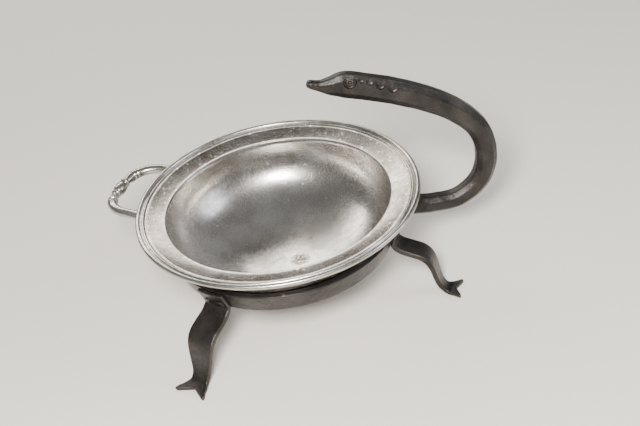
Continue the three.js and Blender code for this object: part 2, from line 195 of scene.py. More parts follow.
def arc(centre_radius, centre_height, radius, start, end, steps):
    """Part of a circle in the profile, from one angle to another, in degrees."""
    points = []
    for i in range(steps + 1):
        angle = math.radians(start + (end - start) * i / steps)
        points.append((centre_radius + radius * math.cos(angle), centre_height + radius * math.sin(angle)))
    return points


bead_centre = (RIM_RADIUS - BEAD_RADIUS, RIM_HEIGHT - BEAD_RADIUS)
reed_outer = RIM_RADIUS - 2 * BEAD_RADIUS
reed_inner = reed_outer - REED_WIDTH

outside = well_profile(WELL_RADIUS + BOWL_WALL, BOWL_BOTTOM, 40)[1:-1]
underside = [(97.5, LIP_HEIGHT - 2.0), (104.0, LIP_HEIGHT - 0.9), (111.0, LIP_HEIGHT + 0.9)]
bead = arc(*bead_centre, BEAD_RADIUS, -118, 152, 18)
groove = [(reed_outer - 0.15, RIM_HEIGHT - 2.15), (reed_outer - 0.55, RIM_HEIGHT - 2.2)]
reed = arc(reed_outer - REED_WIDTH / 2 - 0.5, RIM_HEIGHT - 2.5, 1.25, 20, 160, 7)
cove = [(reed_inner - 0.7, RIM_HEIGHT - 2.35), (reed_inner - 1.2, RIM_HEIGHT - 2.25)]
flange = [(109.5, RIM_HEIGHT - 2.75), (106.0, RIM_HEIGHT - 3.75), (102.0, RIM_HEIGHT - 4.75),
          (98.5, RIM_HEIGHT - 5.45), (96.6, RIM_HEIGHT - 5.75)]
lip = [(96.0, RIM_HEIGHT - 5.72), (95.55, RIM_HEIGHT - 5.8), (95.2, RIM_HEIGHT - 6.1)]
inside = well_profile(WELL_RADIUS, BOWL_BOTTOM + BOWL_WALL, 44)[1:-1][::-1]
bowl_profile = [*outside, *underside, *bead, *groove, *reed, *cove, *flange, *lip, *inside]
print("rings in the bowl's profile:", len(bowl_profile))

# %% Turn the bowl ring by ring
def turned_shell(profile, sides):
    """A closed turned shell: each (radius, height) pair is one ring, and both ends close on the axis."""
    nothing_selected()
    radius, height = profile[0]
    bpy.ops.mesh.primitive_circle_add(
        vertices=sides, radius=radius * MM, fill_type="TRIFAN", location=mm(0, 0, height))
    bpy.ops.object.mode_set(mode="EDIT")
    bpy.ops.mesh.select_mode(type="EDGE")
    bpy.ops.mesh.select_all(action="SELECT")
    bpy.ops.mesh.region_to_loop()
    for next_radius, next_height in profile[1:]:
        rise = (next_height - height) * MM
        bpy.ops.mesh.extrude_edges_move(TRANSFORM_OT_translate={"value": (0, 0, rise)})
        share = next_radius / radius
        bpy.ops.transform.resize(value=(share, share, 1), center_override=mm(0, 0, next_height))
        radius, height = next_radius, next_height
    bpy.ops.mesh.extrude_edges_move()
    bpy.ops.mesh.merge(type="CENTER")
    bpy.ops.object.mode_set(mode="OBJECT")
    return tidy_shell(set_place(bpy.context.object))


pewter_bowl = turned_shell(bowl_profile, RING_SIDES)
print("bowl:", tuple(round(v / MM, 1) for v in pewter_bowl.dimensions))

# %% [markdown]
# Soft pewter never stays perfectly true. Years of use leave the wall and the rim very slightly wavy,
# and it is these slow waves that make the highlights wander. A Displace modifier with a soft cloud
# texture does this, at a few tenths of a millimetre.

# %% Slow waves from years of use
def clouds(name, size_mm, depth=1):
    """A soft procedural cloud texture whose lumps are about this many millimetres across."""
    texture = bpy.data.textures.new(name, "CLOUDS")
    texture.noise_scale = size_mm * MM
    texture.noise_depth = depth
    return texture


apply_modifier(pewter_bowl, "DISPLACE", texture=clouds("slow_waves", 55), strength=0.7 * MM,
               mid_level=0.5, texture_coords="LOCAL")
finish_piece(pewter_bowl, "pewter_bowl", "bowl", "bowl", smooth_angle=50)

# %% [markdown]
# ## Bars that are drawn out, then bent
# A smith first draws a bar out straight, with its taper, and bends it afterwards. The same order
# works here. The blank is extruded station by station along X, each with its own thickness and
# breadth, and a Curve modifier bends it along a line. That keeps the taper easy to read as numbers,
# and the bend easy to change without touching the taper.

# %% Draw out a blank and bend it
def smooth_rows(rows, steps):
    """Smooth values between control rows, by a Catmull-Rom curve through every column."""
    result = []
    for i in range(steps + 1):
        t = i / steps * (len(rows) - 1)
        k = min(int(t), len(rows) - 2)
        t -= k
        before, after = rows[max(k - 1, 0)], rows[min(k + 2, len(rows) - 1)]
        row = []
        for a, b, c, d in zip(before, rows[k], rows[k + 1], after):
            out, back = (c - a) / 2, (d - b) / 2
            row.append(((2 * b - 2 * c + out + back) * t + (3 * c - 3 * b - 2 * out - back)) * t * t
                       + out * t + b)
        result.append(tuple(row))
    return result


def lengths_along(points):
    """How far along its line each (across, up) point lies."""
    total = [0.0]
    for (x0, y0), (x1, y1) in zip(points, points[1:]):
        total.append(total[-1] + math.hypot(x1 - x0, y1 - y0))
    return total


def drawn_blank(stations, corner_share=0.25, sides=4):
    """A straight bar along X. A station is (along, thickness, breadth), in mm; thickness is along Y.

    With four sides the corners are chamfered by corner_share of a unit square; with more, it is round.
    """
    nothing_selected()
    along, thickness, breadth = stations[0]
    turn = (0, math.pi / 2, 0)
    if sides == 4:
        bpy.ops.mesh.primitive_plane_add(size=1, rotation=turn, location=(along * MM, 0, 0))
    else:
        bpy.ops.mesh.primitive_circle_add(
            vertices=sides, radius=0.5, fill_type="NGON", rotation=turn, location=(along * MM, 0, 0))
    bar = set_place(bpy.context.object)
    bpy.ops.object.mode_set(mode="EDIT")
    bpy.ops.mesh.select_all(action="SELECT")
    if sides == 4:
        bpy.ops.mesh.bevel(offset=corner_share, affect="VERTICES")
    bpy.ops.transform.resize(value=(1, thickness * MM, breadth * MM), center_override=(along * MM, 0, 0))
    for next_along, next_thickness, next_breadth in stations[1:]:
        step = (next_along - along) * MM
        bpy.ops.mesh.extrude_region_move(TRANSFORM_OT_translate={"value": (step, 0, 0)})
        bpy.ops.transform.resize(
            value=(1, next_thickness / thickness, next_breadth / breadth),
            center_override=(next_along * MM, 0, 0))
        along, thickness, breadth = next_along, next_thickness, next_breadth
    bpy.ops.object.mode_set(mode="OBJECT")
    return bar


def bend_along(bar, points):
    """Bends a blank along (across, up) points: its length follows them, and its Y stays in their plane."""
    curve = bpy.data.curves.new("bend", "CURVE")
    curve.dimensions = "2D"
    spline = curve.splines.new("POLY")
    spline.points.add(len(points) - 1)
    for point, (across, up) in zip(spline.points, points):
        point.co = (across * MM, up * MM, 0, 1)
    line = bpy.data.objects.new("bend", curve)
    bpy.context.scene.collection.objects.link(line)
    apply_modifier(bar, "CURVE", object=line, deform_axis="POS_X")
    bpy.data.objects.remove(line)
    return bar


def stand_up(bar, azimuth):
    """Turns a bar that was bent in the XY plane upright, then round the bowl's axis to its azimuth."""
    bar.rotation_euler = (math.pi / 2, 0, math.radians(azimuth))
    bar.location = (AXIS[0], AXIS[1], 0)
    return set_place(bar)


def forged(bar, grain_mm, voxel_mm, dents_mm, rounds):
    """One skin with soft edges and shallow hammer dents, as hot iron has when it leaves the anvil."""
    apply_modifier(bar, "REMESH", mode="VOXEL", voxel_size=voxel_mm * MM)
    apply_modifier(bar, "SMOOTH", factor=0.5, iterations=rounds)
    return apply_modifier(bar, "DISPLACE", texture=clouds("hammer", grain_mm, 0),
                          strength=dents_mm * MM, mid_level=0.5, texture_coords="LOCAL")


# %% [markdown]
# ## The loop handle
# The loop was cast in pewter from a turned pattern: a plain round rod, a bulbous barrel in the
# middle, and on each side a collar, a short cone and a pair of rings. It is drawn straight first,
# with the mouldings as changes of thickness, then bent to a squarish arch. Its flattened ends lie
# under the flange.

# %% Draw, mould and bend the loop
LOOP_AZIMUTH = 151
LOOP_REACH = 29.6
LOOP_HALF_SPAN = 34.6
LOOP_ROOT_INSET = 9
LOOP_DROP = 6.6
LOOP_SQUARENESS = 3.0
ROD = 7.2
LOOP_STOUTNESS = 1.15
LOOP_STEPS = 90

loop_line = []
for i in range(LOOP_STEPS + 1):
    angle = math.pi * i / LOOP_STEPS
    power = 2 / LOOP_SQUARENESS
    out = max(math.sin(angle), 0.0) ** power
    side = math.copysign(abs(math.cos(angle)) ** power, math.cos(angle))
    reach = LOOP_REACH + LOOP_ROOT_INSET
    loop_line.append((RIM_RADIUS - LOOP_ROOT_INSET + reach * out, -LOOP_HALF_SPAN * side))
loop_length = lengths_along(loop_line)[-1]

# (distance from the middle of the loop, thickness), in mm, before LOOP_STOUTNESS enlarges both
loop_mouldings = [
    (0.0, 9.4), (1.6, 9.3), (3.2, 8.8), (4.6, 7.7), (5.4, 6.5), (5.7, 5.9), (6.2, 5.7), (6.5, 7.2),
    (6.9, 7.9), (7.8, 7.9), (8.2, 7.2), (8.5, 5.7), (9.9, 5.6), (12.4, 6.5), (14.9, 7.8), (16.0, 8.3),
    (16.6, 7.9), (16.9, 6.8), (17.4, 6.8), (17.8, 8.1), (18.8, 8.4), (19.8, 8.1), (20.1, 7.3),
    (20.9, 7.3), (21.3, 8.0), (22.1, 8.0), (22.5, 7.5), (25.0, 7.4), (31.0, ROD), (40.0, ROD),
]
middle = loop_length / 2
loop_mouldings = [(d * LOOP_STOUTNESS, t * LOOP_STOUTNESS) for d, t in loop_mouldings]
loop_stations = [(middle - d, t, t) for d, t in reversed(loop_mouldings[1:])]
loop_stations += [(middle + d, t, t) for d, t in loop_mouldings]
for distance, thickness, breadth in ((middle - 10, 8.4, 6.4), (middle - 1.5, 11.5, 4.0)):
    loop_stations.insert(0, (middle - distance, thickness, breadth))
    loop_stations.append((middle + distance, thickness, breadth))
pewter_loop = drawn_blank(loop_stations, sides=16)
apply_modifier(pewter_loop, "BEVEL", width=0.35 * MM, segments=2, limit_method="ANGLE",
               angle_limit=math.radians(50))
apply_modifier(pewter_loop, "SUBSURF", levels=1, render_levels=1)
bend_along(pewter_loop, loop_line)
pewter_loop.location = (AXIS[0], AXIS[1], (RIM_HEIGHT - LOOP_DROP) * MM)
pewter_loop.rotation_euler = (0, 0, math.radians(LOOP_AZIMUTH))
set_place(pewter_loop)
tidy_shell(pewter_loop)
finish_piece(pewter_loop, "pewter_loop", "bowl", "loop_handle", smooth_angle=45)
print(f"loop rod: {loop_length:.0f} mm long")

# %% [markdown]
# ## The hoop
# The hoop is flat strap, about 18 by 5 mm, bent to a ring that flares wider at the top, so the bowl
# sits down into it. It starts as an open cone with the right flare. Solidify gives it the strap's
# thickness and Bevel breaks its edges. A few cuts round the wall give the hammer dents some points
# to move.

# %% The flared hoop
STRAP = 4.8
HOOP_SIDES = 128
EDGE_BREAK = 0.8
FLARE = math.radians(19.3)
flare_slope = math.tan(FLARE)


def hoop_outer(height):
    """Outer radius of the hoop at a height, in mm."""
    return HOOP_RADIUS - (HOOP_TOP - height) * flare_slope


nothing_selected()
bpy.ops.mesh.primitive_cone_add(
    vertices=HOOP_SIDES, radius1=hoop_outer(HOOP_BOTTOM) * MM, radius2=HOOP_RADIUS * MM,
    depth=(HOOP_TOP - HOOP_BOTTOM) * MM, end_fill_type="NOTHING",
    location=mm(0, 0, (HOOP_TOP + HOOP_BOTTOM) / 2))
iron_hoop = set_place(bpy.context.object)
bpy.ops.object.mode_set(mode="EDIT")
for share in (0.2, 0.4, 0.6, 0.8):
    bpy.ops.mesh.select_all(action="SELECT")
    cut_height = HOOP_BOTTOM + share * (HOOP_TOP - HOOP_BOTTOM)
    bpy.ops.mesh.bisect(plane_co=mm(0, 0, cut_height), plane_no=(0, 0, 1))
bpy.ops.object.mode_set(mode="OBJECT")
apply_modifier(iron_hoop, "SOLIDIFY", thickness=STRAP * MM, offset=-1, use_even_offset=True)
apply_modifier(iron_hoop, "BEVEL", width=EDGE_BREAK * MM, segments=3, limit_method="ANGLE",
               angle_limit=math.radians(45))
apply_modifier(iron_hoop, "SUBSURF", levels=2, render_levels=2, subdivision_type="SIMPLE")
apply_modifier(iron_hoop, "DISPLACE", texture=clouds("hoop_dents", 16, 1), strength=0.4 * MM,
               mid_level=0.58, texture_coords="LOCAL")
tidy_shell(iron_hoop)
finish_piece(iron_hoop, "iron_hoop", "stand", "hoop", smooth_angle=35)

# %% [markdown]
# ## The legs
# Each leg is one piece of the same strap. Its upper end is a tab on the hoop's outer face; below the
# hoop it bends sharply outwards, sweeps down in an S, narrows at the ankle and is split and spread
# into two toes. The blank is drawn out straight, its end is extruded as two separate toes, and only
# then is it bent. No two legs are equally broad, because they were forged by eye.

# %% The S line and the strap's taper
LEGS = {"leg_front": (-134, 1.0), "leg_right": (-21.5, 0.76), "leg_back": (102, 0.93)}
TAB_WIDTH = 25
TAB_THICKNESS = 3
TAB_GAP = 0.35
SHOULDER_WIDTH = 25.8
ANKLE_WIDTH = 16.3
FORK_WIDTH = 23
FOOT = 3.5
LEG_VOXEL = 0.5
edge = hoop_outer(HOOP_BOTTOM)


def tab_middle(height):
    """Radius of the middle of a leg's tab, which lies on the hoop's outer face."""
    return hoop_outer(height) + (TAB_GAP + TAB_THICKNESS / 2) / math.cos(FLARE)


# (radius, height, thickness, breadth), in mm, from the top of the tab to where the toes part
leg_rows = [
    (tab_middle(HOOP_TOP - 0.7), HOOP_TOP - 0.7, TAB_THICKNESS, TAB_WIDTH),
    (tab_middle(HOOP_BOTTOM + 11), HOOP_BOTTOM + 11, TAB_THICKNESS, TAB_WIDTH),
    (tab_middle(HOOP_BOTTOM + 4.5), HOOP_BOTTOM + 4.5, TAB_THICKNESS, TAB_WIDTH),
    (tab_middle(HOOP_BOTTOM + 0.6) + 0.5, HOOP_BOTTOM + 0.2, STRAP * 0.85, TAB_WIDTH),
    (edge + 7.6, HOOP_BOTTOM - 4.6, STRAP, SHOULDER_WIDTH * 0.97),
    (edge + 16.5, HOOP_BOTTOM - 8.2, STRAP, SHOULDER_WIDTH),
    (edge + 24.4, HOOP_BOTTOM - 11.5, STRAP, SHOULDER_WIDTH),
    (edge + 29.8, HOOP_BOTTOM - 16.8, STRAP, SHOULDER_WIDTH * 0.97),
    (edge + 32.8, HOOP_BOTTOM * 0.53, STRAP * 0.95, SHOULDER_WIDTH * 0.88),
    (edge + 34.6, HOOP_BOTTOM * 0.36, STRAP * 0.9, ANKLE_WIDTH * 1.22),
    (edge + 36.8, FOOT / 2 + 8.5, STRAP * 0.88, ANKLE_WIDTH * 1.03),
    (edge + 41.0, FOOT / 2 + 2.3, FOOT, ANKLE_WIDTH),
    (edge + 45.0, FOOT / 2 + 0.3, FOOT, FORK_WIDTH * 0.86),
    (edge + 49.4, FOOT / 2 + 0.15, FOOT, FORK_WIDTH),
]
leg_line = smooth_rows(leg_rows, 78)
leg_path = [row[:2] for row in leg_line]
leg_lengths = lengths_along(leg_path)
leg_path.append((leg_path[-1][0] + 10, leg_path[-1][1]))  # level, for the toes to lie on
print(f"strap in one leg: {leg_lengths[-1]:.0f} mm before the toes")

# %% Forge one leg
# Each step of a toe: (along, outwards, share of the width, share of the thickness), lengths in mm
TOE_STEPS = [(2.3, 2.7, 0.8, 1.0), (2.3, 2.7, 0.68, 1.0), (2.3, 2.4, 0.45, 0.9)]


def draw_toe(blank, far, side, breadth):
    """Extrudes one half of the blank's end, at X = far, into a pointed toe. side is -1 or 1, along Z."""
    just(blank)
    width = FORK_WIDTH * breadth * MM
    bpy.ops.object.mode_set(mode="EDIT")
    bpy.ops.mesh.select_mode(type="FACE")
    bpy.ops.mesh.select_all(action="DESELECT")
    bpy.ops.object.mode_set(mode="OBJECT")
    for polygon in blank.data.polygons:
        at_end = abs(polygon.center.x - far) < SAME_PLACE and abs(polygon.normal.x) > 0.9
        polygon.select = at_end and polygon.center.z * side > 0
    bpy.ops.object.mode_set(mode="EDIT")
    along, middle_z = far, side * width / 4
    for step, spread, share, thin in TOE_STEPS:
        move = (step * breadth * MM, 0, side * spread * breadth * MM)
        bpy.ops.mesh.extrude_region_move(TRANSFORM_OT_translate={"value": move})
        along += move[0]
        middle_z += move[2]
        bpy.ops.transform.resize(value=(1, thin, share), center_override=(along, 0, middle_z))
    bpy.ops.object.mode_set(mode="OBJECT")


def strap_leg(leg_name, azimuth, breadth):
    """A leg: drawn out, split into toes, bent, hugged to the hoop, and turned to its place."""
    stations = [(s, row[2], row[3] * breadth) for s, row in zip(leg_lengths, leg_line)]
    blank = drawn_blank(stations, corner_share=0.02)
    bpy.ops.object.mode_set(mode="EDIT")
    bpy.ops.mesh.select_all(action="SELECT")
    bpy.ops.mesh.bisect(plane_co=(0, 0, 0), plane_no=(0, 0, 1))
    bpy.ops.object.mode_set(mode="OBJECT")
    far = max(v.co.x for v in blank.data.vertices)
    for side in (-1, 1):
        draw_toe(blank, far, side, breadth)
    tidy_shell(blank)
    apply_modifier(blank, "REMESH", mode="VOXEL", voxel_size=LEG_VOXEL * MM)
    bend_along(blank, leg_path)
    # Above the hoop's lower edge the tab is wrapped round the bowl's axis: across and out share a circle.
    for vertex in blank.data.vertices:
        if vertex.co.y > HOOP_BOTTOM * MM:
            vertex.co.x = math.sqrt(vertex.co.x ** 2 - vertex.co.z ** 2)
    stand_up(blank, azimuth)
    forged(blank, 9, LEG_VOXEL, dents_mm=0.12, rounds=4)
    tidy_shell(blank)
    return finish_piece(blank, "iron_" + leg_name, "stand", leg_name, smooth_angle=60)


for leg_name, (azimuth, breadth) in LEGS.items():
    strap_leg(leg_name, azimuth, breadth)

# %% [markdown]
# ## The bird-neck handle
# The handle is one heavy bar with chamfered corners. It leaves the hoop nearly level, swings up
# through a wide bend and comes back over the bowl, swelling a little towards the head, which is
# drawn down into a thin beak. Its root is hammered flat into a palm that lies on the hoop. The palm
# is a short strip spun round the bowl's axis, so it fits the hoop exactly.

# %% The neck's line and taper
NECK_REACH = 84
NECK_RISE = 139
ROOT_DEPTH = 15.9
ROOT_BREADTH = 15
PALM_WIDTH = 36
PALM_THICKNESS = 5
NECK_VOXEL = 0.55
neck_middle = (HOOP_TOP + HOOP_BOTTOM) / 2
NECK_START = hoop_outer(neck_middle) + 0.3

# shares of reach, rise, root depth and root breadth, from the root to the tip of the beak
neck_rows = [
    (0.01, 0.0, 1.0, 1.1), (0.2, -0.01, 1.0, 1.0), (0.42, -0.03, 1.0, 1.0), (0.67, -0.025, 1.0, 1.0),
    (0.88, 0.055, 1.06, 1.0), (0.985, 0.18, 1.1, 1.0), (0.99, 0.33, 1.12, 1.0), (0.91, 0.465, 1.16, 1.0),
    (0.72, 0.595, 1.2, 1.0), (0.45, 0.71, 1.28, 0.97), (0.14, 0.808, 1.33, 0.93),
    (-0.12, 0.873, 1.35, 0.88), (-0.31, 0.915, 1.34, 0.84), (-0.44, 0.925, 0.96, 0.74),
    (-0.55, 0.94, 0.54, 0.56), (-0.63, 0.961, 0.4, 0.5), (-0.655, 0.969, 0.3, 0.42),
]
neck_line = smooth_rows(neck_rows, 96)
neck_path = [(NECK_START + r * NECK_REACH, neck_middle + h * NECK_RISE) for r, h, _, _ in neck_line]
neck_lengths = lengths_along(neck_path)
print(f"bar in the handle: {neck_lengths[-1]:.0f} mm")

# %% Draw, bend and join the bar and its palm
def hoop_plate(width, thickness):
    """A strip that lies on the hoop's outer face, spun round the bowl's axis, centred on +X."""
    half_turn = math.asin(width / 2 / NECK_START)
    nothing_selected()
    bpy.ops.mesh.primitive_plane_add(size=1, rotation=(math.pi / 2, 0, 0))
    plate = set_place(bpy.context.object)
    bpy.ops.object.mode_set(mode="EDIT")
    bpy.ops.mesh.select_all(action="SELECT")
    height = (HOOP_TOP - HOOP_BOTTOM - 1.2) / math.cos(FLARE)
    bpy.ops.transform.resize(value=(thickness * MM, 1, height * MM), center_override=(0, 0, 0))
    bpy.ops.object.mode_set(mode="OBJECT")
    plate.rotation_euler = (0, FLARE, 0)
    plate.location = mm(NECK_START + (thickness / 2 + 0.1) / math.cos(FLARE), 0, neck_middle)
    set_place(plate)
    plate.rotation_euler = (0, 0, 0)
    bpy.context.scene.cursor.location = mm(0, 0, 0)
    bpy.ops.object.origin_set(type="ORIGIN_CURSOR")
    plate.rotation_euler = (0, 0, half_turn)
    set_place(plate)
    bpy.ops.object.mode_set(mode="EDIT")
    bpy.ops.mesh.select_all(action="SELECT")
    bpy.ops.mesh.spin(steps=10, angle=2 * half_turn, center=mm(0, 0, 0), axis=(0, 0, 1))
    bpy.ops.object.mode_set(mode="OBJECT")
    bpy.context.scene.cursor.location = (0, 0, 0)
    return tidy_shell(plate)


neck_stations = [(s, row[2] * ROOT_DEPTH, row[3] * ROOT_BREADTH) for s, row in zip(neck_lengths, neck_line)]
iron_neck = tidy_shell(drawn_blank(neck_stations, corner_share=0.25))
apply_modifier(iron_neck, "BEVEL", width=0.5 * MM, segments=2, limit_method="ANGLE",
               angle_limit=math.radians(25))
bend_along(iron_neck, neck_path)
stand_up(iron_neck, 0)
join(iron_neck, hoop_plate(PALM_WIDTH, PALM_THICKNESS))
print("neck spans", [round(v / MM, 1) for v in iron_neck.dimensions])

# %% [markdown]
# The eye is a ring punched round a dot, and behind it a row of half-moon punch marks follows the
# chamfer's lower edge, like the first feathers. Each mark is cut by a tool of the same shape, sunk a
# little into both cheeks, after the bar's skin has been made one.

# %% Punch the eyes and the half moons
EYE = (74.0, 192.4)
EYE_RADIUS = 4.3
PUNCH_DEPTH = 2.2
# (across, up, radius) of each mark, in mm
HALF_MOONS = [(83.4, 192.6, 3.2), (90.2, 189.4, 3.4), (98.2, 185.0, 4.5), (107.8, 180.2, 4.9)]


def cheek(across):
    """How far the flat of the cheek stands from the middle plane, at a distance from the axis, in mm."""
    over_the_bowl = range(len(neck_path) // 2, len(neck_path))
    nearest = min(over_the_bowl, key=lambda k: abs(neck_path[k][0] - across))
    return neck_line[nearest][3] * ROOT_BREADTH / 2


def punch_tools():
    """All the punches for both cheeks, as one object."""
    tools = []
    for side in (-1, 1):
        eye_flat = side * (cheek(EYE[0]) - 0.4)
        bpy.ops.mesh.primitive_torus_add(
            location=mm(EYE[0], eye_flat, EYE[1]), rotation=(math.pi / 2, 0, 0),
            major_radius=EYE_RADIUS * MM, minor_radius=1.35 * MM, major_segments=44, minor_segments=14)
        tools.append(set_place(bpy.context.object))
        bpy.ops.mesh.primitive_uv_sphere_add(
            location=mm(EYE[0], eye_flat, EYE[1]), radius=1.5 * MM, segments=20, ring_count=12)
        tools.append(set_place(bpy.context.object))
        for across, up, radius in HALF_MOONS:
            bpy.ops.mesh.primitive_uv_sphere_add(
                location=mm(across, side * (cheek(across) - 0.3), up), radius=radius * MM,
                segments=32, ring_count=20)
            moon = bpy.context.object
            moon.scale = (1, PUNCH_DEPTH / radius, 1)
            set_place(moon)
            bpy.ops.object.mode_set(mode="EDIT")
            bpy.ops.mesh.select_all(action="SELECT")
            bpy.ops.mesh.bisect(plane_co=mm(across, 0, up), plane_no=(0.45, 0, 0.9), clear_outer=True,
                                use_fill=True)
            tools.append(tidy_shell(moon))
    return join(*tools)


forged(iron_neck, 11, NECK_VOXEL, dents_mm=0.35, rounds=6)
nothing_selected()
tools = punch_tools()
apply_modifier(iron_neck, "BOOLEAN", object=tools, operation="DIFFERENCE", solver="EXACT")
bpy.data.objects.remove(tools)
tidy_shell(iron_neck)
finish_piece(iron_neck, "iron_neck_handle", "stand", "neck_handle", smooth_angle=45)

# %% [markdown]
# ## The rivets
# Two rivets hold each leg's tab and two hold the handle's palm. They were hammered nearly flush, so
# all that shows is a very low, slightly uneven dome. Each is made upright and then turned to the place
# and slant that its node has in the frame.

# %% The rivets at every joint
RIVET_RADIUS = 2.5
HEAD_RADIUS = 3.4
HEAD_HEIGHT = 0.4
RIVET_GAP = 0.3


def rivet_along_z(length):
    """A rivet on the Z axis, with its head upwards and its head's seat at height 0."""
    nothing_selected()
    bpy.ops.mesh.primitive_cylinder_add(
        vertices=32, radius=RIVET_RADIUS * MM, depth=length * MM, location=(0, 0, -length / 2 * MM))
    rivet = set_place(bpy.context.object)
    bpy.ops.object.mode_set(mode="EDIT")
    bpy.ops.mesh.select_mode(type="FACE")
    bpy.ops.mesh.select_all(action="DESELECT")
    bpy.ops.object.mode_set(mode="OBJECT")
    for polygon in rivet.data.polygons:
        polygon.select = polygon.normal.z > 0.9
    bpy.ops.object.mode_set(mode="EDIT")
    wider = HEAD_RADIUS / RIVET_RADIUS
    bpy.ops.mesh.extrude_region_move()
    bpy.ops.transform.resize(value=(wider, wider, 1), center_override=(0, 0, 0))
    height = 0.0
    for step, share in ((0.12, 0.98), (0.1, 0.85), (0.06, 0.6), (0.02, 0.4)):
        height += step * MM
        bpy.ops.mesh.extrude_region_move(TRANSFORM_OT_translate={"value": (0, 0, step * MM)})
        bpy.ops.transform.resize(value=(share, share, 1), center_override=(0, 0, height))
    bpy.ops.object.mode_set(mode="OBJECT")
    return tidy_shell(rivet)


for rivet_name in sorted(n for n in frame["nodes"] if n.startswith("rivet_")):
    low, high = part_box(rivet_name)
    centre = (low + high) / 2
    azimuth = math.atan2(centre.y - AXIS[1], centre.x - AXIS[0])
    length = STRAP + RIVET_GAP + (PALM_THICKNESS if "neck" in rivet_name else TAB_THICKNESS)
    seat = (length - HEAD_HEIGHT) / 2
    out = math.hypot(centre.x - AXIS[0], centre.y - AXIS[1]) / MM + seat * math.cos(FLARE)
    rivet = rivet_along_z(length)
    rivet.rotation_euler = (0, math.pi / 2 + FLARE, azimuth)
    rivet.location = mm(out * math.cos(azimuth), out * math.sin(azimuth),
                        centre.z / MM - seat * math.sin(FLARE))
    set_place(rivet)
    apply_modifier(rivet, "DISPLACE", texture=clouds("rivet_dents", 3, 0), strength=0.15 * MM,
                   mid_level=0.6, texture_coords="LOCAL")
    finish_piece(rivet, "iron_" + rivet_name, "stand", rivet_name)

# %% [markdown]
# ## Finishes
# Both finishes are metals that were worked by hand, and both read the piece's own Object
# coordinates, so a pattern keeps its real size and stays put when a piece moves. One helper adds a
# node with its settings and its links. Colours are written as sRGB hex values, as a paint chart
# gives them, and one function turns them to the linear values that Blender mixes.

# %% Helpers for colours and nodes
def linear(hex_colour):
    """An sRGB hex colour as linear red, green, blue and alpha."""
    values = []
    for start in (0, 2, 4):
        share = int(hex_colour[start:start + 2], 16) / 255
        values.append(share / 12.92 if share <= 0.04045 else ((share + 0.055) / 1.055) ** 2.4)
    return (*values, 1.0)


def node(tree, kind, inputs=None, **settings):
    """Adds a node. An input is a plain value, or an output socket to link from."""
    made = tree.nodes.new(kind)
    for name, value in settings.items():
        setattr(made, name, value)
    for name, value in (inputs or {}).items():
        if isinstance(value, bpy.types.NodeSocket):
            tree.links.new(value, made.inputs[name])
        else:
            made.inputs[name].default_value = value
    return made


def per_mm(size_mm):
    """The Scale of a noise or Voronoi node whose lumps are this many millimetres across."""
    return 1 / (size_mm * MM)


def ramp(tree, factor, *stops):
    """A colour ramp from (place, colour) stops; a plain number stands for that grey."""
    made = node(tree, "ShaderNodeValToRGB", {"Fac": factor})
    elements = made.color_ramp.elements
    while len(elements) < len(stops):
        elements.new(0.5)
    for element, (place, colour) in zip(elements, stops):
        element.position = place
        element.color = linear(colour) if isinstance(colour, str) else (colour, colour, colour, 1)
    return made.outputs["Color"]


def noise(tree, place, size_mm, detail=3.0, rough=0.55):
    """A soft noise with lumps of this size, as one value."""
    made = node(tree, "ShaderNodeTexNoise", {
        "Vector": place, "Scale": per_mm(size_mm), "Detail": detail, "Roughness": rough})
    return made.outputs["Fac"]


def mix(tree, factor, first, second, blend="MIX"):
    """Mixes two colours."""
    made = node(tree, "ShaderNodeMix", data_type="RGBA", blend_type=blend)
    for socket, value in ((made.inputs[0], factor), (made.inputs[6], first), (made.inputs[7], second)):
        if isinstance(value, bpy.types.NodeSocket):
            tree.links.new(value, socket)
        else:
            socket.default_value = value
    return made.outputs[2]


def arithmetic(tree, operation, *values, clamp=False):
    """One Math node."""
    made = node(tree, "ShaderNodeMath", operation=operation, use_clamp=clamp)
    for socket, value in zip(made.inputs, values):
        if isinstance(value, bpy.types.NodeSocket):
            tree.links.new(value, socket)
        else:
            socket.default_value = value
    return made.outputs[0]


def new_material(name, metallic, **sockets):
    """A material with one Principled shader, whose plain values are set on its own sockets."""
    material = bpy.data.materials.new(name)
    material.use_nodes = True
    shader = material.node_tree.nodes["Principled BSDF"]
    shader.inputs["Metallic"].default_value = metallic
    for socket, value in sockets.items():
        shader.inputs[socket.replace("_", " ")].default_value = value
    return material, material.node_tree, shader


# %% [markdown]
# ### Worn pewter
# Pewter is tin hardened with a little antimony and copper. It is softer and warmer than silver or
# steel, and takes a satin gloss rather than a mirror. What the eye reads on an old bowl is layered:
# fine rings left by the lathe, a web of fine scratches from scouring, cloudy grey-brown tarnish,
# dark pin-prick pits and pale specks where corrosion has lifted. The flange's warm brown is partly
# tarnish and partly a painted warm reflection. Rings are about 0.7 mm apart here,
# a little coarser than real ones, so that they show.

# %% The pewter finish
def scratches(tree, place, angle, length_mm, width_mm, low, high):
    """Long thin marks in one direction: noise that is stretched, then cut to its thin crests."""
    turned = node(tree, "ShaderNodeMapping", {
        "Vector": place, "Rotation": (angle, angle * 0.7, angle * 1.9)})
    stretched = node(tree, "ShaderNodeMapping", {
        "Vector": turned.outputs["Vector"], "Scale": (1 / length_mm, 1 / width_mm, 1 / width_mm)})
    grain = node(tree, "ShaderNodeTexNoise", {
        "Vector": stretched.outputs["Vector"], "Scale": 1 / MM, "Detail": 2.0})
    return ramp(tree, grain.outputs["Fac"], (low, 0.0), (high, 1.0))


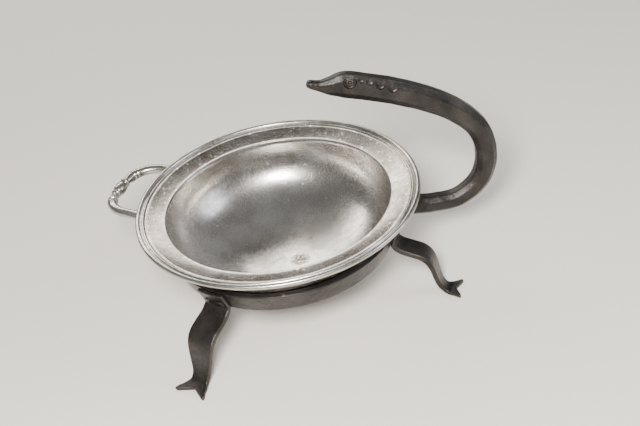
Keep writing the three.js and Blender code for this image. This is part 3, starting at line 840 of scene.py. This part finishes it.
def pewter():
    material, tree, shader = new_material("worn_pewter", 1.0, Anisotropic=0.45)
    coordinates = node(tree, "ShaderNodeTexCoord").outputs["Object"]
    centred = node(tree, "ShaderNodeMapping", {
        "Vector": coordinates, "Location": (-AXIS[0], -AXIS[1], 0)}).outputs["Vector"]
    parts = node(tree, "ShaderNodeSeparateXYZ", {"Vector": centred})
    flat = node(tree, "ShaderNodeCombineXYZ", {"X": parts.outputs["X"], "Y": parts.outputs["Y"]})
    radius = node(tree, "ShaderNodeVectorMath", {0: flat.outputs["Vector"]}, operation="LENGTH")
    radius = radius.outputs["Value"]
    height = parts.outputs["Z"]

    # Cloudy tarnish over the clean metal.
    clouds_large = noise(tree, centred, 34, 4)
    clouds_small = noise(tree, centred, 7, 5, 0.65)
    tarnish = ramp(tree, clouds_large, (0.34, "a19e99"), (0.5, "bab7b2"), (0.66, "cfcdc9"))
    mottled = mix(tree, ramp(tree, clouds_small, (0.45, 0.0), (0.75, 0.4)), tarnish, linear("96918a"))

    # The flange is painted a darker warm brown than the scoured well, in soft clouds: partly tarnish,
    # partly a painted warm reflection of the surroundings.
    out_to_edge = arithmetic(tree, "MULTIPLY", radius, 1 / (RIM_RADIUS * MM))
    on_flange = ramp(tree, out_to_edge, (0.79, 0.0), (0.81, 1.0), (0.93, 1.0), (0.95, 0.3))
    flange_clouds = noise(tree, centred, 15, 5, 0.7)
    flange_cloud = ramp(tree, flange_clouds, (0.35, 0.15), (0.62, 0.85))
    flange_tarnish_and_reflection = mix(tree, flange_cloud, mottled, linear("8b8075"))
    colour = mix(tree, on_flange, mottled, flange_tarnish_and_reflection)

    # Dark pits and pale specks: small Voronoi cells, of which only some are used.
    def specks(size_mm, spot, share, place):
        cells = node(tree, "ShaderNodeTexVoronoi", {"Vector": place, "Scale": per_mm(size_mm)})
        chosen = node(tree, "ShaderNodeSeparateXYZ", {"Vector": cells.outputs["Color"]}).outputs["X"]
        spot_mask = ramp(tree, cells.outputs["Distance"], (spot * 0.5, 1.0), (spot, 0.0))
        return arithmetic(tree, "MULTIPLY", spot_mask, arithmetic(tree, "LESS_THAN", chosen, share))

    pits = specks(5.5, 0.15, 0.3, centred)
    pale = arithmetic(tree, "MULTIPLY", specks(5.0, 0.26, 0.55, centred), on_flange)
    colour = mix(tree, arithmetic(tree, "MULTIPLY", pits, 0.7), colour, linear("57514a"))
    colour = mix(tree, arithmetic(tree, "MULTIPLY", pale, 0.9), colour, linear("e6e1d8"))

    # The scar where the metal was poured, just off the middle of the bottom.
    def distance_from(place):
        made = node(tree, "ShaderNodeVectorMath", {0: centred, 1: place}, operation="DISTANCE")
        return made.outputs["Value"]

    from_scar = arithmetic(tree, "MULTIPLY", distance_from((0.009, -0.006, 0.0333)), 1 / 0.012)
    near_scar = ramp(tree, from_scar, (0.3, 1.0), (0.8, 0.0))
    scar_grain = noise(tree, centred, 2.2, 3)
    scar = arithmetic(tree, "MULTIPLY", near_scar, ramp(tree, scar_grain, (0.4, 0.0), (0.6, 1.0)))
    colour = mix(tree, arithmetic(tree, "MULTIPLY", scar, 0.7), colour, linear("5b554b"))

    # A whitish patch where the well has been scuffed dull.
    from_scuff = arithmetic(tree, "MULTIPLY", distance_from((0.03, 0.02, 0.036)), 1 / 0.05)
    scuff = arithmetic(tree, "MULTIPLY", ramp(tree, from_scuff, (0.2, 0.6), (0.7, 0.0)), flange_clouds)

    # Rings from the lathe, and three directions of fine scratches.
    rings = node(tree, "ShaderNodeTexNoise", {
        "W": arithmetic(tree, "ADD", radius, height), "Scale": per_mm(0.7), "Detail": 2.0,
    }, noise_dimensions="1D").outputs["Fac"]
    lines = scratches(tree, centred, 0.4, 16, 0.35, 0.62, 0.7)
    for angle, long, low in ((1.7, 10, 0.63), (2.9, 22, 0.64)):
        more = scratches(tree, centred, angle, long, 0.3, low, low + 0.07)
        lines = arithmetic(tree, "MAXIMUM", lines, more)
    colour = mix(tree, arithmetic(tree, "MULTIPLY", lines, 0.35), colour, linear("e2ded6"))
    colour = mix(tree, arithmetic(tree, "MULTIPLY", scuff, 0.6), colour, linear("e4e1da"))

    # Gloss: satin, duller where tarnished or scuffed.
    gloss = arithmetic(tree, "MULTIPLY_ADD", clouds_small, 0.16, 0.12)
    gloss = arithmetic(tree, "MULTIPLY_ADD", scuff, 0.25, gloss)
    gloss = arithmetic(tree, "MULTIPLY_ADD", rings, 0.06, gloss)
    gloss = arithmetic(tree, "MULTIPLY_ADD", lines, 0.1, gloss)
    gloss = arithmetic(tree, "MULTIPLY_ADD", pits, 0.25, gloss)
    gloss = arithmetic(tree, "MULTIPLY_ADD", scar, 0.2, gloss, clamp=True)
    tree.links.new(gloss, shader.inputs["Roughness"])
    tree.links.new(colour, shader.inputs["Base Color"])
    along_rings = node(tree, "ShaderNodeTangent", direction_type="RADIAL", axis="Z")
    tree.links.new(along_rings.outputs["Tangent"], shader.inputs["Tangent"])

    # Relief, in real heights: rings and scratches are hundredths of a millimetre deep.
    relief = arithmetic(tree, "MULTIPLY", rings, 0.010 * MM)
    relief = arithmetic(tree, "MULTIPLY_ADD", lines, -0.014 * MM, relief)
    relief = arithmetic(tree, "MULTIPLY_ADD", pits, -0.12 * MM, relief)
    relief = arithmetic(tree, "MULTIPLY_ADD", pale, 0.05 * MM, relief)
    relief = arithmetic(tree, "MULTIPLY_ADD", scar, 0.3 * MM, relief)
    relief = arithmetic(tree, "MULTIPLY_ADD", clouds_small, 0.05 * MM, relief)
    bump = node(tree, "ShaderNodeBump", {"Height": relief, "Distance": 1.0, "Strength": 1.0})
    tree.links.new(bump.outputs["Normal"], shader.inputs["Normal"])
    return material


worn_pewter = pewter()
print("pewter nodes:", len(worn_pewter.node_tree.nodes))

# %% [markdown]
# ### Forged iron
# Wrought iron from the forge is covered in fire scale: a blue-black to brown oxide skin that is half
# metal, half glass to the eye. Oil or wax deepens it and gives a low sheen. The scale is finely
# pitted, brown where a little rust has crept in, and rubbed brighter on raised places. Its sharp edges
# are lightened, partly as wear and partly as a painted highlight.

# %% The iron finish
def iron():
    material, tree, shader = new_material("forged_iron", 0.75, Coat_Weight=0.12, Coat_Roughness=0.35)
    place = node(tree, "ShaderNodeTexCoord").outputs["Object"]
    patches = noise(tree, place, 24, 4)
    scale_grain = noise(tree, place, 1.6, 4, 0.6)
    fine_pits = noise(tree, place, 0.5, 2)
    skin = ramp(tree, patches, (0.34, "232120"), (0.5, "302d2b"), (0.66, "3f3b38"))
    rust = ramp(tree, noise(tree, place, 11, 5, 0.7), (0.55, 0.0), (0.78, 0.45))
    colour = mix(tree, rust, skin, linear("46362c"))
    rubbed = ramp(tree, scale_grain, (0.6, 0.0), (0.78, 0.35))
    colour = mix(tree, rubbed, colour, linear("6a6560"))

    # Edges lightened where the mesh bulges: partly wear from hands and cloths, partly a painted highlight
    # along sharp edges such as the hoop's top edge.
    bulge = node(tree, "ShaderNodeNewGeometry").outputs["Pointiness"]
    edge_wear_and_highlight = ramp(tree, bulge, (0.515, 0.0), (0.6, 0.5))
    colour = mix(tree, edge_wear_and_highlight, colour, linear("77716b"))
    tree.links.new(colour, shader.inputs["Base Color"])

    gloss = arithmetic(tree, "MULTIPLY_ADD", scale_grain, 0.3, 0.18)
    gloss = arithmetic(tree, "MULTIPLY_ADD", rust, 0.18, gloss, clamp=True)
    tree.links.new(gloss, shader.inputs["Roughness"])

    relief = arithmetic(tree, "MULTIPLY", scale_grain, 0.4 * MM)
    relief = arithmetic(tree, "MULTIPLY_ADD", fine_pits, 0.12 * MM, relief)
    relief = arithmetic(tree, "MULTIPLY_ADD", noise(tree, place, 6, 2), 0.7 * MM, relief)
    bump = node(tree, "ShaderNodeBump", {"Height": relief, "Distance": 1.0, "Strength": 1.0})
    tree.links.new(bump.outputs["Normal"], shader.inputs["Normal"])
    return material


forged_iron = iron()
print("iron nodes:", len(forged_iron.node_tree.nodes))

# %% Give every piece and every node its finish
def paint(obj, material):
    """The material becomes the only one on this object."""
    obj.data.materials.clear()
    obj.data.materials.append(material)


for obj in list(bpy.data.objects):
    if obj.type == "MESH":
        is_pewter = obj.name in ("pewter_bowl", "pewter_loop", "bowl", "loop_handle")
        paint(obj, worn_pewter if is_pewter else forged_iron)

# %% [markdown]
# ## Floor, light and camera
# A plain pale floor and soft light keep attention on the object. Metal shows what surrounds it, so
# the lights are large panels: a broad key at the upper left, a low fill at the right and a strip
# behind that draws the bright line along the rim.

# %% The stage
nothing_selected()
bpy.ops.mesh.primitive_plane_add(size=6, location=(0, 0, -0.0004))
floor = bpy.context.object
floor.name = "floor"
floor_paint, _, floor_shader = new_material("pale_floor", 0.0, Roughness=0.85)
floor_shader.inputs["Base Color"].default_value = linear("e6e2da")
paint(floor, floor_paint)

world = bpy.data.worlds.new("studio")
bpy.context.scene.world = world
world.use_nodes = True
world.node_tree.nodes["Background"].inputs["Color"].default_value = linear("cccccc")
world.node_tree.nodes["Background"].inputs["Strength"].default_value = 0.5


def panel(name, place, target, width, height, watts, colour):
    """A soft rectangular light that faces a target point."""
    light = bpy.data.lights.new(name, "AREA")
    light.shape = "RECTANGLE"
    light.size = width
    light.size_y = height
    light.energy = watts
    light.color = linear(colour)[:3]
    lamp = bpy.data.objects.new(name, light)
    bpy.context.scene.collection.objects.link(lamp)
    lamp.location = place
    facing = (lamp.location - type(lamp.location)(target)).to_track_quat("Z", "Y")
    lamp.rotation_euler = facing.to_euler()
    return lamp


heart = mm(0, 0, 70)
panel("key", (-0.16, -0.85, 0.82), heart, 0.24, 0.24, 30, "fffaf4")
panel("fill", (1.3, -0.3, 0.8), heart, 0.7, 0.9, 9, "f4f6ff")
panel("back_strip", (-0.4, 1.2, 0.9), heart, 1.4, 0.3, 12, "fffaf2")

# %% [markdown]
# The camera looks down at 35 degrees and is turned slightly on its own axis, so the table seems to
# rise to the right.

# %% The camera
TILT = 54.99
HEADING = -4.0
ROLL = -10.15
camera_data = bpy.data.cameras.new("camera")
camera_data.lens = 67.5
camera_data.sensor_width = 36
camera = bpy.data.objects.new("camera", camera_data)
bpy.context.scene.collection.objects.link(camera)
camera.location = mm(-24.95, -829.54, 654.49)
turn = Matrix.Rotation(math.radians(HEADING), 3, "Z") @ Matrix.Rotation(math.radians(TILT), 3, "X")
camera.rotation_euler = (turn @ Matrix.Rotation(math.radians(ROLL), 3, "Z")).to_euler()
bpy.context.scene.camera = camera
